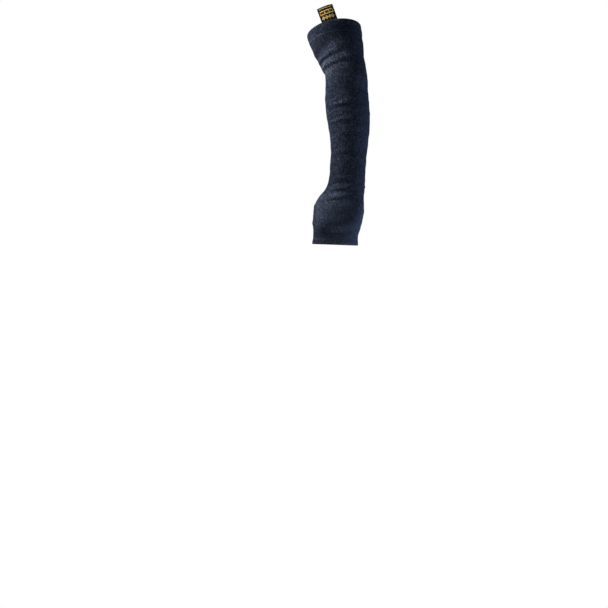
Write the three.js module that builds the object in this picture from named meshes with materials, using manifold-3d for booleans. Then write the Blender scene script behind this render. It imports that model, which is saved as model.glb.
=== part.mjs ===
// A knitted heat-resistant arm sleeve with a thumb hole, in the form it has on a slightly bent left arm.
// Millimetres, +Z up the arm, -Y towards the back of the hand. The origin is on the arm's axis at mid
// forearm. A place on the sleeve is given by "along", the distance up the arm from the knuckle edge, and
// "turn", the angle in degrees round the arm: 0 is the thumb side, 90 the back of the hand and 180 the
// little finger side.
import * as THREE from "three";
import { mergeVertices } from "three/addons/utils/BufferGeometryUtils.js";
import Module from "manifold-3d";

// Driving dimensions
const KNIT_WALL = 2.0; // double knit
const HEM_LAYER = 0.6; // what a turned-under hem adds on each face of the knit
const HAND_HEM = 11.5; // height of the knuckle hem
const ARM_HEM = 24; // height of the upper arm hem
const SEAM_GAP = 0.3; // clearance between neighbouring pieces
const THUMB_HOLE = { along: 63, turn: -8, halfLength: 24, halfTurn: 27, bluntness: 1.35 };
const BINDING_RADIUS = 1.8; // overlocked bead round the thumb hole
const LABEL = { turn: 86, tilt: 4, width: 37, shown: 31, sewnIn: 9, thickness: 1.0 };

// Faceting
const ROUND_STEPS = 40; // facets round the arm
const BINDING_STEPS = 40; // facets along the thumb binding
const BINDING_SIDES = 8; // facets round the bead
const LABEL_STEPS = { across: 8, up: 6 };

// Rows of a table as objects with the columns' names
function tableOf(columns, rows) {
  return rows.map((row) => Object.fromEntries(columns.map((column, i) => [column, row[i]])));
}

// One row for each girth of the arm, from the knuckles up. x, y, z is the girth's centre; roll tips its
// little finger side up, lean tips its front up; square is the superellipse power, 2 for a plain ellipse.
const GIRTHS = tableOf(
  ["name", "x", "y", "z", "halfWidth", "halfDepth", "roll", "lean", "square"],
  [
    ["knuckle edge", -27.1, -24.5, -251.4, 44.9, 22.0, -2.0, 2.5, 2.2],
    ["finger roots", -25.6, -24.5, -228.1, 46.3, 25.0, -2.0, 3.5, 2.3],
    ["knuckles", -23.0, -23.5, -209.1, 49.4, 28.0, -1.6, 4, 2.2],
    ["thumb", -20.4, -20.5, -187.6, 51.6, 28.5, -1.1, 3, 2.1],
    ["thumb root", -18.2, -16.7, -169.1, 50.1, 28.5, 0, 3, 2.1],
    ["hand root", -14.0, -13.0, -152.7, 45.7, 28.0, 1.3, 4, 2.1],
    ["wrist bones", -6.2, -10.3, -134.3, 39.6, 27.5, 1.4, 5, 2.1],
    ["wrist", -2.7, -9.5, -116.9, 36.9, 28.0, 1.0, 5, 2.1],
    ["above wrist", -1.0, -7.5, -92.3, 36.5, 29.0, 0, 5, 2.1],
    ["lower forearm", 1.1, -5.0, -61.5, 37.0, 31.5, 0, 5, 2.0],
    ["mid forearm", 2.0, -2.3, -28.7, 40.0, 35.0, 0, 5, 2.0],
    ["full forearm", 0, 0.3, 4.1, 43.7, 38.0, 0, 5, 2.0],
    ["upper forearm", -2.4, 3.2, 34.9, 44.8, 40.0, 0.5, 6, 2.0],
    ["below elbow", -3.7, 6.3, 61.5, 43.7, 41.0, 1.0, 8, 2.0],
    ["elbow", -4.5, 10.0, 92.3, 43.0, 44.5, 2.5, 11, 2.0],
    ["elbow bend", -15.1, 19.6, 128.2, 47.2, 46.5, 6.3, 17, 2.0],
    ["upper arm", -20.9, 25.5, 148.7, 51.7, 49.5, 8.5, 21, 2.0],
    ["arm edge", -30.6, 33.0, 187.6, 56.0, 54.0, 12.7, 24, 1.87],
  ],
);

// One row for each fold: its middle, how far it reaches round the arm on each side, how much it climbs in a
// quarter turn, its half widths below and above the middle, and its height out of the cloth (negative for a
// crease). A roll that hangs over the crease under it is wide above and narrow below.
const FOLDS = tableOf(
  ["name", "along", "turn", "reach", "climb", "below", "above", "height"],
  [
    ["upper arm hollow", 398, 40, 46, 8, 7, 15, -4.6],
    ["elbow shelf", 388, 46, 56, 8, 3.2, 12, 2.0],
    ["elbow upper crease", 379.5, 32, 38, 9, 2.4, 2.2, -1.6],
    ["elbow roll", 373.5, 62, 72, 7.5, 3.2, 9, 2.4],
    ["elbow lower crease", 362, 28, 80, 9, 7, 2.4, -1.5],
    ["elbow back crease", 372, -60, 60, -11, 5, 5, -2.6],
    ["wrist hollow", 129, 66, 52, 8, 5, 5, -1.4],
    ["wrist upper roll", 117.5, 60, 62, 6, 5.0, 8, 3.2],
    ["wrist upper crease", 110.5, 56, 58, 6.5, 5, 2.4, -1.0],
    ["wrist lower roll", 97, 56, 62, 8.5, 5.5, 10, 4.0],
    ["wrist lower crease", 87.5, 42, 46, 7.5, 6, 2.4, -0.9],
    ["back of the hand", 48, 100, 75, 0, 20, 36, 6.5],
    ["knuckle hollow", 29, 70, 72, 0, 9, 9, -1.4],
    ["seam tail", 0, 180, 20, 0, 7, 7, 1.5],
    ["thumb side corner", 0, 0, 24, 0, 6, 6, 1.2],
  ],
);

// The body's rings slant with the elbow folds, most at the middle and not at all past the reach.
const RING_SLANT = { along: 374, reach: 46, turn: 25, climb: 14 };

// Stretches of the sleeve body with their ring spacing, close where the cloth folds
const BODY_ZONES = [
  { name: "hand", from: HAND_HEM + SEAM_GAP, spacing: 9 },
  { name: "wrist folds", from: 76, spacing: 3.9 },
  { name: "forearm", from: 132, spacing: 17 },
  { name: "elbow folds", from: 348, spacing: 3.2 },
  { name: "upper arm", from: 402, spacing: 8 },
];

const FINISHES = {
  knit: { color: 0x23272f, roughness: 0.95, metalness: 0 },
  binding: { color: 0x15171c, roughness: 0.9, metalness: 0 },
  label: { color: 0x17140e, roughness: 0.6, metalness: 0 },
};

const WELD = 1e-4; // points closer than this are one

// Running distance up the arm at each girth
GIRTHS.forEach((girth, i) => {
  const below = GIRTHS[i - 1];
  girth.along = below
    ? below.along + Math.hypot(girth.x - below.x, girth.y - below.y, girth.z - below.z)
    : 0;
});
const SLEEVE_LENGTH = GIRTHS.at(-1).along;

const radians = THREE.MathUtils.degToRad;

// The slope of one column of the girth table at row i
function columnSlope(column, i) {
  const above = GIRTHS[Math.min(i + 1, GIRTHS.length - 1)];
  const below = GIRTHS[Math.max(i - 1, 0)];
  return (above[column] - below[column]) / (above.along - below.along);
}

// One column of the girth table at any distance along, on a smooth curve through the rows
function girthAt(column, along) {
  const last = GIRTHS.length - 2;
  let i = 0;
  while (i < last && along > GIRTHS[i + 1].along) i += 1;
  const below = GIRTHS[i];
  const above = GIRTHS[i + 1];
  const span = above.along - below.along;
  const t = (along - below.along) / span;
  const s = 1 - t;
  return (
    below[column] * s * s * (1 + 2 * t) +
    above[column] * t * t * (1 + 2 * s) +
    columnSlope(column, i) * span * s * s * t -
    columnSlope(column, i + 1) * span * t * t * s
  );
}

// How far the folds lift the cloth at a place
function foldLift(along, turn) {
  let lift = 0;
  for (const fold of FOLDS) {
    const swing = THREE.MathUtils.euclideanModulo(turn - fold.turn + 180, 360) - 180;
    if (Math.abs(swing) >= fold.reach) continue;
    const fade = (1 - (swing / fold.reach) ** 4) ** 2;
    const off = along - fold.along - fold.climb * Math.sin(radians(swing));
    const width = off > 0 ? fold.above : fold.below;
    lift += fold.height * fade * Math.exp(-((off / width) ** 2));
  }
  return lift;
}

// A point on the outer face of the knit
function facePoint(along, turn) {
  const power = 2 / girthAt("square", along);
  const width = girthAt("halfWidth", along);
  const depth = girthAt("halfDepth", along);
  const roll = radians(girthAt("roll", along));
  const lean = radians(girthAt("lean", along));
  const cos = Math.cos(radians(turn));
  const sin = Math.sin(radians(turn));
  const outwards = new THREE.Vector2(cos / width, sin / depth).normalize();
  const lift = foldLift(along, turn);
  const side = Math.sign(cos) * width * Math.abs(cos) ** power + outwards.x * lift;
  const front = Math.sign(sin) * depth * Math.abs(sin) ** power + outwards.y * lift;
  const sideways = new THREE.Vector3(-Math.cos(roll), 0, -Math.sin(roll));
  const forwards = new THREE.Vector3(
    -Math.sin(roll) * Math.sin(lean),
    -Math.cos(lean),
    Math.cos(roll) * Math.sin(lean),
  );
  return new THREE.Vector3(girthAt("x", along), girthAt("y", along), girthAt("z", along))
    .addScaledVector(sideways, side)
    .addScaledVector(forwards, front);
}

// The knit's outward direction at a place
function faceNormal(along, turn) {
  const stepAlong = 0.5;
  const stepTurn = 0.5;
  const up = facePoint(along + stepAlong, turn).sub(facePoint(along - stepAlong, turn));
  const round = facePoint(along, turn + stepTurn).sub(facePoint(along, turn - stepTurn));
  return round.cross(up).normalize();
}

// A point a given height above the outer face; past the arm edge the face runs straight on
function clothPoint(along, turn, height) {
  const onFace = Math.min(along, SLEEVE_LENGTH);
  const point = facePoint(onFace, turn);
  if (along > onFace) {
    const up = point.clone().sub(facePoint(onFace - 1, turn)).normalize();
    point.addScaledVector(up, along - onFace);
  }
  return point.addScaledVector(faceNormal(onFace, turn), height);
}

// A closed solid from a grid of points: every row and every column runs back into itself
function ringSolid(rows) {
  const count = rows[0].length;
  const geometry = new THREE.BufferGeometry().setFromPoints(rows.flat());
  const index = [];
  rows.forEach((row, r) => {
    const next = (r + 1) % rows.length;
    row.forEach((point, c) => {
      const right = (c + 1) % count;
      const corners = [r * count + c, r * count + right, next * count + right, next * count + c];
      index.push(corners[0], corners[1], corners[2], corners[0], corners[2], corners[3]);
    });
  });
  geometry.setIndex(index);
  return geometry;
}

// Where a ring lies at a given turn
function ringPlace(along, turn) {
  const off = (along - RING_SLANT.along) / RING_SLANT.reach;
  if (Math.abs(off) >= 1) return along;
  return along + RING_SLANT.climb * (1 - off * off) ** 2 * Math.sin(radians(turn - RING_SLANT.turn));
}

// A closed wall round the arm: each place of the profile is one ring of the solid
function wallRound(profile) {
  return ringSolid(
    profile.map(({ along, height }) =>
      Array.from({ length: ROUND_STEPS }, (_, step) => {
        const turn = (360 * step) / ROUND_STEPS;
        return clothPoint(ringPlace(along, turn), turn, height);
      }),
    ),
  );
}

// The body's ring places, zone by zone
function bodyPlaces() {
  const end = SLEEVE_LENGTH - ARM_HEM - SEAM_GAP;
  const places = [];
  BODY_ZONES.forEach((zone, i) => {
    const to = BODY_ZONES[i + 1]?.from ?? end;
    const count = Math.round((to - zone.from) / zone.spacing);
    for (let step = 0; step < count; step += 1) {
      places.push(zone.from + ((to - zone.from) * step) / count);
    }
  });
  places.push(end);
  return places;
}

function bodyWall() {
  const places = bodyPlaces();
  const outer = places.map((along) => ({ along, height: 0 }));
  const inner = places.toReversed().map((along) => ({ along, height: -KNIT_WALL }));
  return wallRound([...outer, ...inner]);
}

// A turned hem: a doubled band with a rounded fold at its free edge
function hemBand(free, seam) {
  const half = KNIT_WALL / 2 + HEM_LAYER;
  const inwards = Math.sign(seam - free);
  const round = (angle) => ({
    along: free + inwards * half * (1 - Math.sin(radians(angle))),
    height: -KNIT_WALL / 2 + half * Math.cos(radians(angle)),
  });
  const lip = [0, 45, 90, 135, 180].map(round);
  const middle = (free + seam) / 2;
  const profile = [
    { along: seam, height: half - KNIT_WALL / 2 },
    { along: middle, height: half - KNIT_WALL / 2 },
    ...lip,
    { along: middle, height: -half - KNIT_WALL / 2 },
    { along: seam, height: -half - KNIT_WALL / 2 },
  ];
  return wallRound(inwards > 0 ? profile.toReversed() : profile);
}

// The thumb hole's edge: a lens with blunt ends, at an angle round its outline
function thumbEdge(angle) {
  const across = Math.sin(angle);
  const swing = Math.sign(across) * Math.abs(across) ** THUMB_HOLE.bluntness;
  return {
    along: THUMB_HOLE.along - THUMB_HOLE.halfLength * Math.cos(angle),
    turn: THUMB_HOLE.turn + THUMB_HOLE.halfTurn * swing,
  };
}

// A plug with the thumb hole's outline, standing through the wall
function thumbPlug() {
  const reach = 6; // past each face of the knit
  const loop = (height) =>
    Array.from({ length: BINDING_STEPS }, (_, step) => {
      const { along, turn } = thumbEdge((2 * Math.PI * step) / BINDING_STEPS);
      return clothPoint(along, turn, height);
    });
  const outer = loop(reach);
  const inner = loop(-KNIT_WALL - reach);
  const middle = (points) =>
    points.reduce((sum, point) => sum.add(point), new THREE.Vector3()).divideScalar(points.length);
  const points = [...outer, ...inner, middle(outer), middle(inner)];
  const index = [];
  for (let step = 0; step < BINDING_STEPS; step += 1) {
    const next = (step + 1) % BINDING_STEPS;
    const below = BINDING_STEPS + step;
    const belowNext = BINDING_STEPS + next;
    index.push(step, below, belowNext, step, belowNext, next);
    index.push(2 * BINDING_STEPS, step, next);
    index.push(2 * BINDING_STEPS + 1, belowNext, below);
  }
  return new THREE.BufferGeometry().setFromPoints(points).setIndex(index);
}

// A round bead that follows the thumb hole's edge, just inside the cut
function thumbBead() {
  const inset = BINDING_RADIUS + SEAM_GAP;
  const mid = -KNIT_WALL / 2;
  const step = (2 * Math.PI) / BINDING_STEPS;
  const edgePoint = (angle) => {
    const { along, turn } = thumbEdge(angle);
    return clothPoint(along, turn, mid);
  };
  const rows = Array.from({ length: BINDING_STEPS }, (_, i) => {
    const angle = i * step;
    const { along, turn } = thumbEdge(angle);
    const outwards = faceNormal(along, turn);
    const tangent = edgePoint(angle + step / 2).sub(edgePoint(angle - step / 2)).normalize();
    const inwards = outwards.clone().cross(tangent).normalize();
    const centre = edgePoint(angle).addScaledVector(inwards, inset);
    return Array.from({ length: BINDING_SIDES }, (_, side) => {
      const round = (2 * Math.PI * side) / BINDING_SIDES;
      return centre
        .clone()
        .addScaledVector(outwards, BINDING_RADIUS * Math.cos(round))
        .addScaledVector(inwards, -BINDING_RADIUS * Math.sin(round));
    });
  });
  return ringSolid(rows);
}

// The label: a thin plate that hangs on the inner face of the arm hem and stands up past its edge
function labelPlate() {
  const face = -KNIT_WALL - HEM_LAYER - SEAM_GAP; // the inner face of the hem
  const degree = (girthAt("halfWidth", SLEEVE_LENGTH) + face) * radians(1); // length of one degree of turn
  const tilt = radians(LABEL.tilt);
  const place = (across, up, height) => {
    const along = SLEEVE_LENGTH + up * Math.cos(tilt) + across * Math.sin(tilt);
    const sideways = across * Math.cos(tilt) - up * Math.sin(tilt);
    return clothPoint(along, LABEL.turn + sideways / degree, height);
  };
  const sheet = (height) => {
    const rows = [];
    for (let r = 0; r <= LABEL_STEPS.up; r += 1) {
      const up = -LABEL.sewnIn + ((LABEL.shown + LABEL.sewnIn) * r) / LABEL_STEPS.up;
      for (let c = 0; c <= LABEL_STEPS.across; c += 1) {
        rows.push(place(LABEL.width * (c / LABEL_STEPS.across - 0.5), up, height));
      }
    }
    return rows;
  };
  return plateSolid(sheet(face), sheet(face - LABEL.thickness), LABEL_STEPS.across + 1, LABEL_STEPS.up + 1);
}

// A closed plate between two grids of points with the same rows and columns
function plateSolid(front, back, columns, rows) {
  const index = [];
  const at = (c, r) => r * columns + c;
  const shift = front.length;
  const quad = (a, b, c, d) => index.push(a, b, c, a, c, d);
  const right = columns - 1;
  const top = rows - 1;
  for (let r = 0; r < top; r += 1) {
    for (let c = 0; c < right; c += 1) {
      quad(at(c, r), at(c + 1, r), at(c + 1, r + 1), at(c, r + 1));
      quad(shift + at(c, r), shift + at(c, r + 1), shift + at(c + 1, r + 1), shift + at(c + 1, r));
    }
    quad(at(0, r), at(0, r + 1), shift + at(0, r + 1), shift + at(0, r));
    quad(at(right, r + 1), at(right, r), shift + at(right, r), shift + at(right, r + 1));
  }
  for (let c = 0; c < right; c += 1) {
    quad(at(c + 1, 0), at(c, 0), shift + at(c, 0), shift + at(c + 1, 0));
    quad(at(c, top), at(c + 1, top), shift + at(c + 1, top), shift + at(c, top));
  }
  return new THREE.BufferGeometry().setFromPoints([...front, ...back]).setIndex(index);
}

const wasm = await Module();
wasm.setup();

function solidOf(geometry) {
  const merged = mergeVertices(geometry, WELD);
  return new wasm.Manifold(
    new wasm.Mesh({
      numProp: 3,
      vertProperties: new Float32Array(merged.attributes.position.array),
      triVerts: new Uint32Array(merged.index.array),
    }),
  );
}

function geometryOf(solid) {
  const { vertProperties, triVerts } = solid.getMesh();
  return new THREE.BufferGeometry()
    .setAttribute("position", new THREE.BufferAttribute(vertProperties, 3))
    .setIndex(new THREE.BufferAttribute(triVerts, 1));
}

function piece(name, geometry, finish) {
  const mesh = new THREE.Mesh(geometry, new THREE.MeshStandardMaterial(finish));
  mesh.name = name;
  return mesh;
}

const sleeveBody = geometryOf(solidOf(bodyWall()).subtract(solidOf(thumbPlug())));

const sleeve = new THREE.Group();
sleeve.name = "heat_resistant_sleeve";
sleeve.add(
  piece("sleeve_body", sleeveBody, FINISHES.knit),
  piece("hand_hem", hemBand(0, HAND_HEM), FINISHES.knit),
  piece("arm_hem", hemBand(SLEEVE_LENGTH, SLEEVE_LENGTH - ARM_HEM), FINISHES.knit),
  piece("thumb_binding", thumbBead(), FINISHES.binding),
  piece("label", labelPlate(), FINISHES.label),
);

export default sleeve;
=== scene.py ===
import math

import bpy
import numpy as np
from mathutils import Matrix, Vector


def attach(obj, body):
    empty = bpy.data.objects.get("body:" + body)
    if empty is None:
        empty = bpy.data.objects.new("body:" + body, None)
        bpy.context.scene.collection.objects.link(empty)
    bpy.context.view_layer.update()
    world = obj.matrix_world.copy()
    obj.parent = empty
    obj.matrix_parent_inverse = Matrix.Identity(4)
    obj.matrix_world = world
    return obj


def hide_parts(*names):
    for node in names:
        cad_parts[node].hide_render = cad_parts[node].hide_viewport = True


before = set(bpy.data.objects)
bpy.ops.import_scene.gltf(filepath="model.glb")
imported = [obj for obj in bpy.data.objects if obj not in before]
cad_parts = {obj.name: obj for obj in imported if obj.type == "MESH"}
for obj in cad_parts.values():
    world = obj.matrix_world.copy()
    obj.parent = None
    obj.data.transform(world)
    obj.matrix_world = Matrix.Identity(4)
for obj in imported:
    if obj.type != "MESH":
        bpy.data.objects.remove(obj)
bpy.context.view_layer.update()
mm = 0.001
scene = bpy.context.scene
print("sleeve: frame loaded")

# The form of the worn sleeve, in millimetres. A place on it is "along", up from the knuckle edge,
# and "turn", degrees round: 0 at the thumb hole's side, 90 in front, 180 at the side seam.
girthColumns = ("x", "y", "z", "halfWidth", "halfDepth", "roll", "lean", "square")
sleeveGirths = np.array([
    (-27.1, -24.5, -251.4, 44.9, 22.0, -2.0, 2.5, 2.2),  # knuckle edge
    (-25.6, -24.5, -228.1, 46.3, 25.0, -2.0, 3.5, 2.3),  # above the knuckle hem
    (-23.0, -23.5, -209.1, 49.4, 28.0, -1.6, 4, 2.2),  # below the thumb hole
    (-20.4, -20.5, -187.6, 51.6, 28.5, -1.1, 3, 2.1),  # thumb hole
    (-18.2, -16.7, -169.1, 50.1, 28.5, 0.0, 3, 2.1),  # above the thumb hole
    (-14.0, -13.0, -152.7, 45.7, 28.0, 1.3, 4, 2.1),  # drawing in to the wrist
    (-6.2, -10.3, -134.3, 39.6, 27.5, 1.4, 5, 2.1),  # below the wrist
    (-2.7, -9.5, -116.9, 36.9, 28.0, 1.0, 5, 2.1),  # wrist
    (-1.0, -7.5, -92.3, 36.5, 29.0, 0.0, 5, 2.1),  # above the wrist
    (1.1, -5.0, -61.5, 37.0, 31.5, 0.0, 5, 2.0),  # lower forearm
    (2.0, -2.3, -28.7, 40.0, 35.0, 0.0, 5, 2.0),  # mid forearm
    (0.0, 0.3, 4.1, 43.7, 38.0, 0.0, 5, 2.0),  # full forearm
    (-2.4, 3.2, 34.9, 44.8, 40.0, 0.5, 6, 2.0),  # upper forearm
    (-3.7, 6.3, 61.5, 43.7, 41.0, 1.0, 8, 2.0),  # below the elbow
    (-4.5, 10.0, 92.3, 43.0, 44.5, 2.5, 11, 2.0),  # elbow
    (-15.1, 19.6, 128.2, 47.2, 46.5, 6.3, 17, 2.0),  # elbow bend
    (-20.9, 25.5, 148.7, 51.7, 49.5, 8.5, 21, 2.0),  # upper arm
    (-30.6, 33.0, 187.6, 56.0, 54.0, 12.7, 24, 1.87),  # arm edge
])

# A fold: its middle, its reach to each side in degrees, how far it climbs in a quarter turn,
# its spread below and above, and its height, under 0 for a crease.
foldColumns = ("along", "turn", "reach", "climb", "below", "above", "height")
mainFolds = [
    (398, 40, 46, 8, 7, 15, -4.6),  # upper arm hollow
    (388, 46, 56, 8, 3.2, 12, 2.0),  # elbow shelf
    (379.5, 32, 38, 9, 2.4, 2.2, -1.6),  # elbow upper crease
    (373.5, 62, 72, 7.5, 3.2, 9, 2.4),  # elbow roll
    (362, 28, 80, 9, 7, 2.4, -1.5),  # elbow lower crease
    (372, -60, 60, -11, 5, 5, -2.6),  # elbow back crease
    (129, 66, 52, 8, 5, 5, -1.4),  # wrist hollow
    (117.5, 60, 62, 6, 5.0, 8, 3.2),  # wrist upper roll
    (110.5, 56, 58, 6.5, 5, 2.4, -1.0),  # wrist upper crease
    (97, 56, 62, 8.5, 5.5, 10, 4.0),  # wrist lower roll
    (87.5, 42, 46, 7.5, 6, 2.4, -0.9),  # wrist lower crease
    (48, 100, 75, 0, 20, 36, 6.5),  # swell below the wrist
    (29, 70, 72, 0, 9, 9, -1.4),  # hollow above the knuckle hem
    (0, 180, 20, 0, 7, 7, 1.5),  # seam tail
    (0, 0, 24, 0, 6, 6, 1.2),  # thumb side corner
]
fineFolds = [  # small pulls in the knit, on top of the main folds
    (292, 65, 42, 9, 4.0, 2.8, 1.2),  # upper pull on the forearm
    (284, 66, 40, 9, 3.4, 2.8, -0.4),
    (259, 62, 44, 8.5, 4.0, 2.8, 1.2),  # lower pull on the forearm
    (251, 64, 40, 8.5, 3.4, 2.8, -0.4),
    (72, 38, 26, 7, 2.6, 2.6, 0.55),  # fan of pulls beside the thumb hole
    (64, 34, 24, 2, 2.6, 2.6, -0.5),
    (56, 36, 26, -4, 2.6, 2.6, 0.5),
    (121, 182, 26, 0, 4.0, 4.0, 1.2),  # pucker on the side seam
    (404, 74, 40, 6, 3.0, 3.0, 0.6),  # below the arm hem
    (425, 64, 50, 3, 3.4, 3.4, 0.7),
    (140, 60, 45, 5, 4.0, 4.0, 0.6),  # above the wrist
    (148, 66, 40, 5, 3.4, 3.4, -0.5),
    (97, 56, 62, 8.5, 5.5, 10, -1.4),  # the wrist's rolls sag a little
    (117.5, 56, 58, 6, 5.0, 8, -1.3),
    (110.5, 50, 50, 6.5, 5, 2.4, 0.8),  # and their creases fill
    (87.5, 42, 46, 7.5, 6, 2.4, 0.5),
    (362, 40, 70, 9, 7, 2.4, 0.6),  # the elbow's lower crease fills, and its roll sags
    (373.5, 62, 72, 7.5, 3.2, 9, -0.4),
]
paintedHighlights = [  # painted highlights: pale streaks on crests and stitch lines on the lit side, with the folds' columns
    (293.5, 66, 34, 9, 2.2, 2.2, 1.0),  # upper pull on the forearm
    (260.5, 63, 36, 8.5, 2.2, 2.2, 1.0),  # lower pull on the forearm
    (11.2, 24, 46, 0, 1.4, 1.4, 1.6),  # knuckle hem
    (429.5, 36, 36, 0, 1.6, 1.6, 2.0),  # arm hem
    (446.3, 60, 40, 0, 1.8, 1.8, 0.7),  # below the arm edge
]
patchColumns = ("along", "turn", "alongReach", "turnReach", "change")
paintedLightPlaces = [  # painted light and painted shade: the knit is made paler in lit places and darker in shaded ones
    (369, 50, 16, 42, 1.45),  # elbow
    (356, 16, 20, 24, 1.2),  # thumb side of the elbow
    (400, 74, 14, 32, 0.7),  # front of the upper arm
    (404, 34, 14, 36, -0.55),  # under the arm hem
    (100, 46, 20, 40, 0.7),  # thumb side of the wrist
    (98, 92, 11, 28, 0.5),  # front of the wrist
    (66, 22, 30, 40, 1.35),  # beside the thumb hole
    (68, 98, 24, 26, -0.35),  # front, level with the thumb hole
    (68, 150, 26, 26, 0.65),  # seam side, level with the thumb hole
    (24, 32, 14, 34, -0.6),  # painted shadow below the thumb hole
    (36, 120, 9, 50, -0.22),  # above the knuckle hem
    (25, 104, 8, 30, 0.2),  # and closer to it
    (3, 115, 10, 66, 0.75),  # knuckle edge
    (430, 106, 26, 40, -0.4),  # seam side of the arm hem
]
marlPlaces = [  # where the mix of pale and dark stitches shows more or less
    (30, 130, 66, 85, -0.75),  # drawn smooth below the wrist
    (250, 24, 130, 50, 0.75),  # thumb side of the forearm
    (440, 60, 26, 60, -0.2),  # arm hem
    (260, 128, 150, 42, -0.3),  # seam side of the forearm
]
slackColumns = ("height", "along", "round", "phase", "sway", "swayAlong", "swayRound")
slackWaves = [  # slow unevenness: along in radians for each centimetre, round in waves for each turn
    (0.22, 1.9, 0, 0.4, 2.0, 0, 2),
    (0.16, 3.1, -3, 1.7, 0, 0, 0),
    (0.14, 0.9, 5, 0, 2.2, 0.6, 0),
]
seamRelief = {  # a groove between two ridges, puckered by its thread
    "turn": 180,
    "groove": 0.55,
    "grooveReach": 1.3,
    "ridge": 0.4,
    "ridgeAway": 3.2,
    "ridgeReach": 1.6,
    "pucker": 0.12,
    "puckerReach": 9,
    "puckerRate": 0.47,  # radians for each millimetre along
    "drift": 1.3,  # how far the puckers stray from an even row, in radians
    "driftRate": 0.11,
}
ringSlant = {"along": 374, "reach": 46, "rise": 14, "turn": 25}  # rings lean with the elbow folds
thumbHole = {
    "along": 63,
    "turn": -8,
    "halfLength": 24,
    "halfTurn": 27,
    "pointed": 1.35,  # 1 is an oval
    "spread": 104,  # degrees of knit on each side that are drawn aside
}
slitStart = thumbHole["along"] - thumbHole["halfLength"]
slitEnd = thumbHole["along"] + thumbHole["halfLength"]
nudge = 0.5  # millimetres along or degrees round, to find a slope


def walked(points):  # distance from the start of a line of points
    return np.concatenate(([0.0], np.cumsum(np.linalg.norm(np.diff(points, axis=0), axis=1))))


girthAlong = walked(sleeveGirths[:, :3])
sleeveLength = girthAlong[-1]
edgeHalfWidth = sleeveGirths[-1, girthColumns.index("halfWidth")]


def girthAt(name, along):  # a smooth curve through one column of the girths
    column = sleeveGirths[:, girthColumns.index(name)]
    spans = np.diff(girthAlong)
    slope = np.empty_like(column)
    slope[1:-1] = (column[2:] - column[:-2]) / (girthAlong[2:] - girthAlong[:-2])
    slope[[0, -1]] = (np.diff(column) / spans)[[0, -1]]
    i = np.clip(np.searchsorted(girthAlong, along) - 1, 0, len(spans) - 1)
    span = spans[i]
    t = (along - girthAlong[i]) / span
    s = 1 - t
    return (
        column[i] * s * s * (1 + 2 * t)
        + column[i + 1] * t * t * (1 + 2 * s)
        + slope[i] * span * s * s * t
        - slope[i + 1] * span * t * t * s
    )


def swingFrom(middle, turn):  # degrees from the middle, the short way round
    return (turn - middle + 180) % 360 - 180


def foldLift(folds, along, turn):
    lift = np.zeros(np.broadcast(along, turn).shape)
    for row in folds:
        fold = dict(zip(foldColumns, row))
        swing = swingFrom(fold["turn"], turn)
        fade = np.clip(1 - (swing / fold["reach"]) ** 4, 0, 1) ** 2
        off = along - fold["along"] - fold["climb"] * np.sin(np.radians(swing))
        spread = np.where(off > 0, fold["above"], fold["below"])
        lift = lift + fold["height"] * fade * np.exp(-(off / spread) ** 2)
    return lift


def facePoint(along, turn):  # the knit's outer face, without its fine relief
    power = 2 / girthAt("square", along)
    width = girthAt("halfWidth", along)
    depth = girthAt("halfDepth", along)
    roll = np.radians(girthAt("roll", along))
    lean = np.radians(girthAt("lean", along))
    cosTurn = np.cos(np.radians(turn))
    sinTurn = np.sin(np.radians(turn))
    reach = np.hypot(cosTurn / width, sinTurn / depth)
    lift = foldLift(mainFolds, along, turn)
    side = np.sign(cosTurn) * width * np.abs(cosTurn) ** power + cosTurn / width / reach * lift
    front = np.sign(sinTurn) * depth * np.abs(sinTurn) ** power + sinTurn / depth / reach * lift
    return np.stack((
        girthAt("x", along) - np.cos(roll) * side - np.sin(roll) * np.sin(lean) * front,
        girthAt("y", along) - np.cos(lean) * front,
        girthAt("z", along) - np.sin(roll) * side + np.cos(roll) * np.sin(lean) * front,
    ), axis=-1)


def unit(vectors):
    return vectors / np.linalg.norm(vectors, axis=-1, keepdims=True)


def wayUp(along, turn):
    return facePoint(along + nudge, turn) - facePoint(along - nudge, turn)


def wayRound(along, turn):
    return facePoint(along, turn + nudge) - facePoint(along, turn - nudge)


def faceNormal(along, turn):
    return unit(np.cross(wayRound(along, turn), wayUp(along, turn)))


def clothPoint(along, turn, height):
    along, turn, height = np.broadcast_arrays(along, turn, np.asarray(height, float))
    onFace = np.minimum(along, sleeveLength)  # past the arm edge the face runs straight on
    point = facePoint(onFace, turn)
    up = unit(point - facePoint(onFace - 1, turn))
    point = point + up * (along - onFace)[..., None]
    return point + faceNormal(onFace, turn) * height[..., None]


def bell(away, reach):
    return np.exp(-(away / reach) ** 2)


def sideSeam(along, turn):
    seam = seamRelief
    away = np.radians(swingFrom(seam["turn"], turn)) * girthAt("halfDepth", along)
    groove = seam["groove"] * bell(away, seam["grooveReach"])
    ridges = seam["ridge"] * bell(np.abs(away) - seam["ridgeAway"], seam["ridgeReach"])
    drift = seam["drift"] * np.sin(along * seam["driftRate"])
    pucker = seam["pucker"] * np.sin(along * seam["puckerRate"] + drift)
    return ridges - groove + pucker * bell(away, seam["puckerReach"])


def slack(along, turn):
    up = along / 10
    around = np.radians(turn)
    lift = 0.0
    for row in slackWaves:
        wave = dict(zip(slackColumns, row))
        sway = wave["sway"] * np.sin(wave["swayAlong"] * up + wave["swayRound"] * around)
        angle = wave["along"] * up + wave["round"] * around + wave["phase"] + sway
        lift = lift + wave["height"] * np.sin(angle)
    return lift


def fineRelief(along, turn):
    inside = np.minimum(along, sleeveLength)
    return foldLift(fineFolds, inside, turn) + sideSeam(inside, turn) + slack(inside, turn)


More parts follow.
